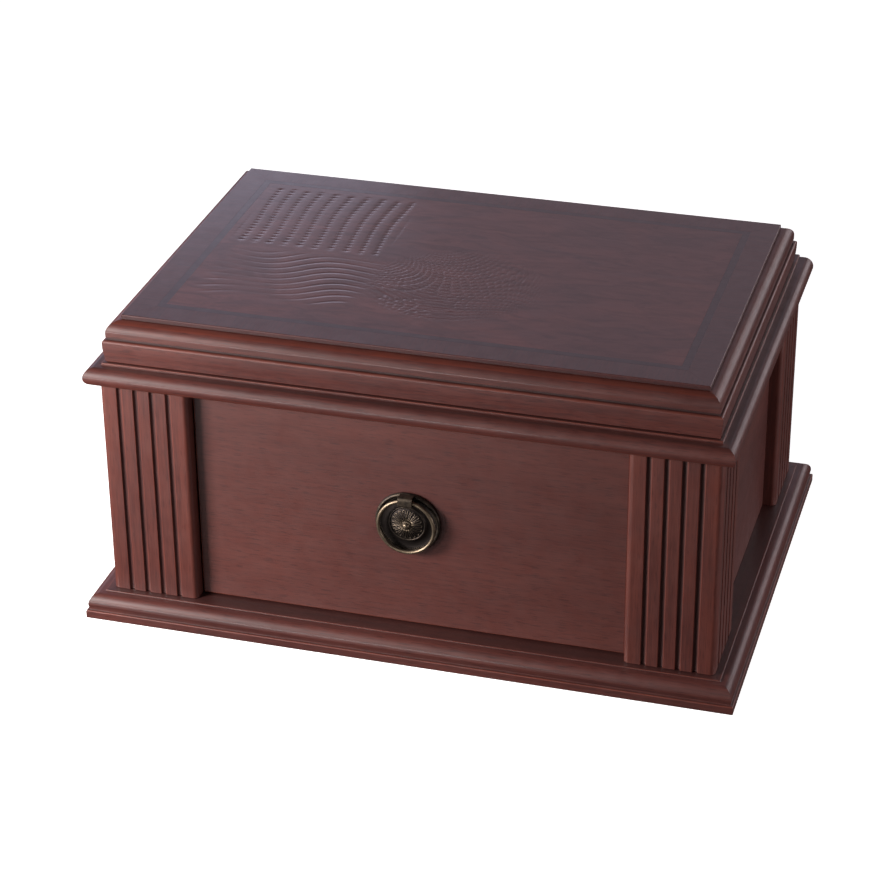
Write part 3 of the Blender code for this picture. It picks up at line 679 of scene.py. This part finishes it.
# ---------------------------------------------------------------- lid
def lid_mouldings():
    """Coved frieze, quirk and ovolo, up to the shoulder beside the raised top."""
    widest = LID_LOW + 0.0130
    frieze_top = widest + 0.0015
    quirk = 0.0019
    ovolo_low = frieze_top + 0.0016
    reach = LID_X - TOP_X - quirk
    corners = [(0.0013, LID_LOW, 0.0004, 0.0)]
    corners += arc((0.0013, widest), (0.0013, 0.0095), 240, 180, 10)
    corners += arc((0.0015, widest), (0.0015, 0.0015), 165, 90, 8, 0.5)
    # The quirk between frieze and ovolo gets full painted shade.
    corners += [(quirk + 0.0006, frieze_top, 0.0, -1.0), (quirk + 0.0006, ovolo_low, 0.0, -1.0),
                (quirk, ovolo_low, 0.0002, 0.0)]
    corners += arc((quirk + reach, LID_SHOULDER - 0.0066), (reach, 0.0066), 180, 130, 13)
    corners += arc((quirk + reach, LID_SHOULDER - 0.0066), (reach, 0.0066), 126, 90, 9, 0.50)
    corners += [(LID_RAIL, LID_SHOULDER, 0.0, 0.0), (LID_RAIL, LID_LOW, 0.0, 0.0)]
    profile = soften(corners)
    rect = (-LID_X, LID_X, LID_FRONT_Y, LID_REAR_Y)
    for side in SIDES:
        node = "lid_moulding_" + side
        look = LOOKS["mahogany_x" if side in ("front", "rear") else "mahogany_y"]
        place(moulding("fine_" + node, profile, rect, side), node, "lid", "mahogany", look)


def crossbands():
    """Veneer border of the raised top, with its outer edge rounded over."""
    wide = TOP_X - STRING_X - HAIRLINE
    # The outer face below the rounded edge gets painted shade, strongest at its foot.
    corners = [(0.0, TOP_LOW, 0.0, -0.8), (0.0, TOP_Z - 0.0012, 0.0, -0.2), (0.0, TOP_Z, 0.0009, 0.0),
               (wide, TOP_Z, 0.00006, 0.0), (wide, TOP_LOW, 0.0, 0.0)]
    profile = soften(corners, 6)
    profile = [(inset, z, min(wear, 0.15)) for inset, z, wear in profile]
    rect = (-TOP_X, TOP_X, TOP_FRONT_Y, TOP_REAR_Y)
    for side in SIDES:
        node = "crossband_" + side
        look = LOOKS["band_x" if side in ("front", "rear") else "band_y"]
        place(moulding("fine_" + node, profile, rect, side), node, "lid", "crossband_veneer", look)


def string_inlay():
    """Dark banding between the border and the field, level with them, as one mitred frame."""
    lowest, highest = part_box("string_inlay")
    inner = STRING_X - FIELD_X - HAIRLINE
    corners = [(0.0, TOP_LOW, 0.0, 0.0), (0.0, TOP_Z, 0.00006, 0.0), (inner, TOP_Z, 0.00006, 0.0),
               (inner, TOP_LOW, 0.0, 0.0)]
    profile = [(inset, z) for inset, z, _ in soften(corners, 3)]
    points = []
    for inset, z in profile:
        x0, x1 = lowest.x + inset, highest.x - inset
        y0, y1 = lowest.y + inset, highest.y - inset
        points += [(x0, y0, z), (x1, y0, z), (x1, y1, z), (x0, y1, z)]
    faces = grid_faces(len(profile), 4, closed_rows=True, closed_columns=True)
    frame_piece = even_shading(mesh_piece("fine_string_inlay", points, faces, [0.0] * len(points)))
    place(frame_piece, "string_inlay", "lid", "ebony_string", LOOKS["ebony"])


def smooth(value, start, end):
    """0 below start, 1 above end, and a smooth rise between."""
    t = np.clip((value - start) / (end - start), 0.0, 1.0)
    return t * t * (3 - 2 * t)


def within(x, y, x0, x1, y0, y1, soft):
    """1 inside a rectangle and 0 outside it, with a soft border just inside its edges."""
    return (smooth(x, x0, x0 + soft) * smooth(-x, -x1, -x1 + soft)
            * smooth(y, y0, y0 + soft) * smooth(-y, -y1, -y1 + soft))


def carving(x, y):
    """Height of the carved field at x, y in millimetres from the middle of the field.

    Three plain ornaments share the left two thirds: a block of punched rows, long flowing lines below
    it, and a patch of overlapping leaf-like scales.  The right of the field is left smooth.
    """
    row_pitch = 9.6
    punch_pitch = 4.4
    drift = 2.2 * np.sin(x * 0.045 + 1.2) + 1.4 * np.sin(y * 0.06 + x * 0.02)
    row = (x + drift) / row_pitch
    lozenge = (y + drift * 0.6) / punch_pitch + 0.5 * np.floor(row)
    across = row - np.floor(row) - 0.5
    along = lozenge - np.floor(lozenge) - 0.5
    punch = np.exp(-((across * row_pitch / 1.5) ** 2 + (along * punch_pitch / 1.0) ** 2))
    furrow = np.exp(-((across * row_pitch / 2.6) ** 2))
    block = within(x, y, -158.0, -52.0, 3.0, 92.0, 3.0)
    height = block * (-0.24 * punch - 0.03 * furrow)

    line_pitch = 8.2
    bend = y + 9.0 * np.sin(x * 0.036 + 0.4) + 3.5 * np.sin(x * 0.083 + y * 0.05)
    flow = np.sin(bend * 2 * math.pi / line_pitch + 1.1 * np.sin(x * 0.028))
    groove = -0.15 * smooth(flow, 0.55, 1.0)
    strip = within(x, y, -157.0, -34.0 + 0.25 * y, -80.0, -1.0, 14.0)
    fade = 0.55 + 0.45 * np.sin(x * 0.05 + y * 0.03)
    height = height + strip * groove * fade

    rank_pitch = 4.2
    scale_pitch = 3.4
    radius = np.hypot((x - 4.0) / 62.0, (y + 28.0) / 58.0)
    patch = smooth(-radius, -1.0, -0.72)
    turn = 0.7 * np.sin(x * 0.03 + 0.6) + 0.5 * np.sin(y * 0.037)
    u = x * np.cos(turn) + y * np.sin(turn)
    v = -x * np.sin(turn) + y * np.cos(turn)
    rank = np.floor(v / rank_pitch)
    cell = u / scale_pitch + 0.5 * np.mod(rank, 2)
    cell = cell - np.floor(cell) - 0.5
    lift = v / rank_pitch - rank
    rim = np.sqrt(np.clip(cell ** 2 + (lift * 0.62) ** 2, 0.0, None))
    scale = -0.15 * np.exp(-((rim - 0.44) / 0.085) ** 2) + 0.06 * (1 - lift)
    vein = -0.08 * np.exp(-(cell / 0.07) ** 2) * (lift < 0.55)
    return height * (1 - patch) + patch * (scale + vein)


def carved_field():
    """Top panel with its ornament cut as real relief, never above the level of the border."""
    pitch = 0.0007
    columns = int(round(2 * FIELD_X / pitch)) + 1
    rows = int(round((FIELD_REAR_Y - FIELD_FRONT_Y) / pitch)) + 1
    xs = np.linspace(-FIELD_X, FIELD_X, columns)
    ys = np.linspace(FIELD_FRONT_Y, FIELD_REAR_Y, rows)
    y, x = np.meshgrid(ys, xs, indexing="ij")
    middle_y = (FIELD_FRONT_Y + FIELD_REAR_Y) / 2
    height = carving(x * 1000.0, (y - middle_y) * 1000.0)
    # Cut hollows of the carving get painted shade; raised parts are marked as rubbed.
    wear = np.clip(height * 2.2, -1.0, 0.6)
    z = TOP_Z + 0.001 * height - 0.00002
    top = np.stack([x, y, z], axis=-1).reshape(-1, 3)
    count = rows * columns
    rim = grid_rim(rows, columns)
    skirt = [(top[index][0], top[index][1], TOP_LOW) for index in rim]
    faces = grid_faces(rows, columns)
    for order, here in enumerate(rim):
        follower = (order + 1) % len(rim)
        faces.append((here, count + order, count + follower, rim[follower]))
    faces.append(tuple(range(count, count + len(rim))))
    wear = list(wear.reshape(-1)) + [0.0] * len(rim)
    field = mesh_piece("carved_lid_field", [*map(tuple, top), *skirt], faces, wear, 60)
    place(field, "lid_field", "lid", "carved_top", LOOKS["veneer"])


# ---------------------------------------------------------------- ring pull
def rosette_relief(radius, angle):
    """Raised loops like flower petals round the boss, and a milled line inside the plate's rim."""
    petals = 18
    beads_round = 84
    bead_r = 0.0180            # radius of the milled line
    sector = 2 * math.pi / petals
    offset = np.mod(angle + sector / 2, sector) - sector / 2
    side = radius * np.sin(offset)
    along = radius * np.cos(offset)
    tip = 0.0088
    half = 0.60 * math.tan(sector / 2)
    straight = np.abs(np.abs(side) - half * along)
    round_end = np.abs(np.hypot(side, along - tip) - half * tip)
    line = np.where(along < tip, straight, round_end)
    on_petals = (radius > 0.0036) & (radius < 0.0106)
    ridge = np.exp(-((line / 0.00021) ** 2)) * on_petals
    ground = on_petals * smooth(radius, 0.0034, 0.0048)
    beads = np.exp(-(((radius - bead_r) / 0.00035) ** 2)) * (0.5 + 0.5 * np.cos(angle * beads_round))
    rise = 0.00036 * ridge + 0.00030 * beads
    return rise, 1.3 * ridge - 0.9 * ground + 0.7 * beads


def backplate():
    """Dished plate: rolled rim, hollow channel, and a domed rosette with a narrow raised edge."""
    back = PLATE_BACK
    profile = [(0.0002, back, -0.5), (PLATE_R - 0.0004, back, -0.5), (PLATE_R, back - 0.0004, -0.3)]
    rim_middle = PLATE_R - 0.0012
    for step in range(13):
        swing = math.radians(180 * step / 12)
        profile.append((rim_middle + 0.0012 * math.cos(swing), back - 0.0010 - 0.0014 * math.sin(swing),
                        0.05 * math.sin(swing) - 0.2))
    hollow = [(0.0181, 0.0013, -0.5), (0.0172, 0.0011, -0.8), (0.0160, 0.0010, -0.9), (0.0146, 0.0011, -0.9),
              (0.0134, 0.0014, -0.9), (0.0126, 0.0018, -0.8), (0.0120, 0.0023, -0.4)]
    profile += [(radius, back - out, wear) for radius, out, wear in hollow]
    for step in range(7):
        swing = math.radians(180 * step / 6)
        profile.append((0.0113 + 0.0006 * math.cos(swing), back - 0.0025 - 0.0005 * math.sin(swing),
                        -0.25))
    for step in range(34):
        t = step / 33
        radius = 0.0105 - (0.0105 - 0.0034) * t
        profile.append((radius, back - 0.0027 - 0.0016 * math.sin(t * math.pi / 2), 0.0))
    profile += [(0.0026, back - 0.0043, 0.0), (0.0002, back - 0.0043, 0.0)]
    plate = turned("rosette_backplate", profile, (0.0, PULL_Z), 504, rosette_relief, 70)
    place(plate, "pull_backplate", "drawer", "antique_brass", LOOKS["antique_brass"])


def bolt():
    """Domed bolt head in the middle of the rosette, on its shank through the drawer front."""
    front = low("pull_bolt", "y")
    end = high("pull_bolt", "y")
    seat = PLATE_BACK - 0.0047
    profile = []
    for step in range(12):
        swing = math.radians(90 * step / 11)
        radius = max(0.00005, 0.0021 * math.sin(swing))
        profile.append((radius, front + (seat - front) * (1 - math.cos(swing)) * 0.75, 1.0 - step / 16))
    profile += [(0.0029, seat - 0.0004, 0.2), (0.0031, seat - 0.0001, 0.0), (0.0031, seat, -0.5),
                (0.0019, seat, -0.5), (0.0019, end - 0.0004, 0.0), (0.0015, end, 0.0), (0.00005, end, 0.0)]
    head = turned("domed_pull_bolt", profile, (0.0, PULL_Z), 48)
    place(head, "pull_bolt", "drawer", "antique_brass", LOOKS["antique_brass"])


def nut():
    """Knurled round nut behind the drawer front."""
    near = low("pull_nut", "y")
    far = high("pull_nut", "y")
    outer = high("pull_nut", "x")
    bore = 0.00225
    loops = [(bore, near), (outer - 0.0003, near), (outer, near + 0.0003), (outer, far - 0.0003),
             (outer - 0.0003, far), (bore, far)]
    steps = 72
    points = []
    wear = []
    for radius, y in loops:
        for step in range(steps):
            angle = 2 * math.pi * step / steps
            reach = radius - 0.00018 * (step % 3 == 0) * (radius >= outer)
            points.append((reach * math.cos(angle), y, PULL_Z + reach * math.sin(angle)))
            wear.append(0.2)
    faces = grid_faces(len(loops), steps, closed_rows=True, closed_columns=True)
    piece = mesh_piece("knurled_pull_nut", points, faces, wear, 50)
    place(piece, "pull_nut", "drawer", "hinge_brass", LOOKS["hinge_brass"])


def strap():
    """Bent strap that the ring hangs in: a rounded loop of strip metal, with eased edges."""
    wide = high("pull_strap", "x")
    front = RING_Y - WIRE_R - 0.0013
    back = PLATE_BACK - 0.0021
    top = RING_PIVOT_Z + 0.0034
    bottom = RING_PIVOT_Z - 0.0034
    thick = 0.0009
    loops = []
    for inset in (0.0, thick):
        r = 0.0018 - inset * 0.8
        corners = [(front + inset, bottom + inset, r), (front + inset, top - inset, r + 0.0006),
                   (back, top - inset, 0.0002), (back, bottom + inset, 0.0002)]
        loops.append([(y, z) for y, z, _ in soften([(y, z, r, 0.0) for y, z, r in corners], 8)])
    outer, inner = loops
    ease = 0.00025
    rows = []
    for x, shrink in ((-wide, 1.0), (-wide + ease, 0.0), (wide - ease, 0.0), (wide, 1.0)):
        rows.append([(x, *pull_in(point, outer, ease * shrink)) for point in outer])
    for x, shrink in ((wide, 1.0), (wide - ease, 0.0), (-wide + ease, 0.0), (-wide, 1.0)):
        rows.append([(x, *pull_in(point, inner, -ease * shrink)) for point in inner])
    points = [point for row in rows for point in row]
    wear = []
    for index, row in enumerate(rows):
        level = 0.45 if index in (0, 3) else (-0.1 if index < 4 else -0.8)
        wear += [level] * len(row)
    faces = grid_faces(len(rows), len(outer), closed_rows=True, closed_columns=True)
    piece = even_shading(mesh_piece("bent_pull_strap", points, faces, wear, 50))
    place(piece, "pull_strap", "drawer", "antique_brass", LOOKS["antique_brass"])


def pull_in(point, loop, distance):
    """A point of a loop moved towards the loop's middle."""
    middle = Vector((sum(p[0] for p in loop) / len(loop), sum(p[1] for p in loop) / len(loop)))
    towards = (middle - Vector(point)).normalized()
    moved = Vector(point) + towards * distance
    return moved.x, moved.y


def ring():
    """Plain ring of round wire, rubbed bright on the outside."""
    around = 144
    section = 24
    middle_z = (RING_LOW.z + RING_HIGH.z) / 2
    radius = RING_HIGH.x - WIRE_R
    points = []
    wear = []
    for step in range(around):
        angle = 2 * math.pi * step / around
        for turn in range(section):
            swing = 2 * math.pi * turn / section
            reach = radius + WIRE_R * math.cos(swing)
            points.append((reach * math.sin(angle), RING_Y + WIRE_R * math.sin(swing),
                           middle_z + reach * math.cos(angle)))
            wear.append(0.25 - 0.55 * math.sin(swing))
    faces = grid_faces(around, section, closed_rows=True, closed_columns=True)
    piece = mesh_piece("fine_pull_ring", points, faces, wear, 80)
    place(piece, "pull_ring", "ring", "antique_brass", LOOKS["antique_brass"])


# ---------------------------------------------------------------- hinges
def hinge_parts():
    """The leaves and pins keep their CAD shape with brass and eased edges; screw heads get a slot."""
    for hand in HANDS:
        for name in ("fixed_leaf", "lid_leaf", "pin"):
            node = frame["nodes"]["hinge_%s_%s" % (hand, name)]
            node.data.materials.clear()
            node.data.materials.append(LOOKS["hinge_brass"])
            weld = node.modifiers.new("weld", "WELD")
            weld.merge_threshold = 0.000005
            bevel = node.modifiers.new("eased", "BEVEL")
            bevel.width = 0.00015
            bevel.segments = 2
            bevel.limit_method = "ANGLE"
        for name, direction in (("fixed_screw", "z"), ("lid_screw", "y")):
            for number in (1, 2):
                slotted_screw("hinge_%s_%s_%d" % (hand, name, number), direction)


def slotted_screw(node, direction):
    """Countersunk screw head with a straight slot."""
    lowest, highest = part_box(node)
    middle = (lowest + highest) / 2
    radius = (highest.x - lowest.x) / 2
    thick = (highest - lowest)["xyz".index(direction)]
    bm = bmesh.new()
    bmesh.ops.create_cone(bm, cap_ends=True, segments=40, radius1=radius * 0.85, radius2=radius, depth=thick)
    rim = [edge for edge in bm.edges if all(vertex.co.z > 0 for vertex in edge.verts)]
    bmesh.ops.bevel(bm, geom=rim, offset=radius * 0.08, segments=2, profile=0.5, affect="EDGES")
    mesh = bpy.data.meshes.new("slotted_" + node)
    bm.to_mesh(mesh)
    bm.free()
    head = new_object("slotted_" + node, mesh)
    bm = bmesh.new()
    slot = Matrix.Diagonal((radius * 3, radius * 0.22, thick, 1.0))
    bmesh.ops.create_cube(bm, size=1.0, matrix=Matrix.Translation((0.0, 0.0, thick * 0.5)) @ slot)
    blade = bpy.data.meshes.new("blade")
    bm.to_mesh(blade)
    bm.free()
    cutter = new_object("blade", blade)
    modifier = head.modifiers.new("slot", "BOOLEAN")
    modifier.operation = "DIFFERENCE"
    modifier.object = cutter
    bpy.context.view_layer.update()
    cut = bpy.data.meshes.new_from_object(head.evaluated_get(bpy.context.evaluated_depsgraph_get()))
    head.modifiers.clear()
    head.data = cut
    bpy.data.objects.remove(cutter, do_unlink=True)
    turn = Matrix.Identity(4)
    if direction == "y":
        turn = Matrix.Rotation(math.radians(-90), 4, "X")
    spin = Matrix.Rotation(math.radians(25 + 40 * (middle.x > 0)), 4, "Z")
    cut.transform(Matrix.Translation(middle) @ turn @ spin)
    cut.shade_smooth()
    cut.set_sharp_from_angle(angle=math.radians(30))
    body = "lid" if "lid_screw" in node else "chest"
    place(head, node, body, "hinge_brass", LOOKS["hinge_brass"])


# ---------------------------------------------------------------- stage, light and camera
def stage_floor():
    """White paper that glows a little, so that it stays white in light set for dark wood.

    It is hidden from reflections and bounced light, so the object is lit by the lamps alone.
    """
    reach = 6
    mesh = bpy.data.meshes.new("floor")
    corners = [(-reach, -reach, 0), (reach, -reach, 0), (reach, reach, 0), (-reach, reach, 0)]
    mesh.from_pydata(corners, [], [(0, 1, 2, 3)])
    floor = new_object("floor", mesh)
    n = Nodes("floor_paper")
    n.set(Base_Color=rgb(0.88, 0.88, 0.88), Roughness=0.9, Specular_IOR_Level=0.0,
          Emission_Color=rgb(1.0, 1.0, 1.0), Emission_Strength=0.80)
    floor.data.materials.append(n.material)
    floor.visible_diffuse = False
    floor.visible_glossy = False


def area_light(name, where, size, power, colour, target=(0.0, 0.0, 0.1)):
    """Rectangular lamp facing the middle of the chest."""
    light = bpy.data.lights.new(name, "AREA")
    light.shape = "RECTANGLE"
    light.size, light.size_y = size
    light.energy = power
    light.color = colour
    lamp = bpy.data.objects.new(name, light)
    lamp.location = where
    lamp.rotation_euler = (Vector(target) - Vector(where)).to_track_quat("-Z", "Y").to_euler()
    bpy.context.scene.collection.objects.link(lamp)


def lights():
    area_light("key", (-0.70, -0.60, 0.35), (0.3, 0.3), 17.0, (1.0, 0.98, 0.96))
    area_light("low_front", (-0.35, -0.75, 0.04), (0.6, 0.06), 1.3, (1.0, 1.0, 1.0))
    area_light("back_left", (-1.45, 2.05, 0.80), (1.5, 0.9), 5.4, (0.74, 0.76, 1.0))
    area_light("back", (-0.35, 2.2, 1.1), (1.6, 1.4), 3.4, (1.0, 0.78, 0.92))
    area_light("rear_fill", (1.0, 1.5, 0.7), (1.0, 0.8), 5.0, (1.0, 0.90, 0.95))
    area_light("right", (1.6, 0.2, 0.7), (0.3, 1.0), 5.4, (1.0, 0.97, 1.0))
    area_light("right_low", (1.2, -0.2, 0.2), (0.6, 0.3), 5.7, (1.0, 0.97, 1.0))
    world = bpy.data.worlds.new("studio")
    bpy.context.scene.world = world
    world.use_nodes = True
    background = world.node_tree.nodes["Background"]
    background.inputs["Color"].default_value = rgb(1.0, 1.0, 1.0)
    background.inputs["Strength"].default_value = 0.035


def camera():
    lens = 111.21
    target = Vector((-0.01249, -0.01211, 0.08503))
    distance = 1.77319
    azimuth = math.radians(16.2505)
    elevation = math.radians(28.5148)
    roll = math.radians(-0.498)
    back = Vector((math.sin(azimuth) * math.cos(elevation), -math.cos(azimuth) * math.cos(elevation),
                   math.sin(elevation)))
    data = bpy.data.cameras.new("camera")
    data.lens = lens
    data.sensor_width = 36.0
    data.clip_start = 0.05
    viewer = bpy.data.objects.new("camera", data)
    viewer.rotation_mode = "QUATERNION"
    viewer.location = target + back * distance
    level = (-back).to_track_quat("-Z", "Y")
    viewer.rotation_quaternion = level @ Matrix.Rotation(roll, 3, "Z").to_quaternion()
    bpy.context.scene.collection.objects.link(viewer)
    bpy.context.scene.camera = viewer
    bpy.context.scene.view_settings.view_transform = "Standard"


camera()
stage_floor()
lights()
base_mouldings()
posts()
cornices()
boards()
drawer_front()
linings()
lid_mouldings()
crossbands()
string_inlay()
carved_field()
backplate()
bolt()
nut()
strap()
ring()
hinge_parts()
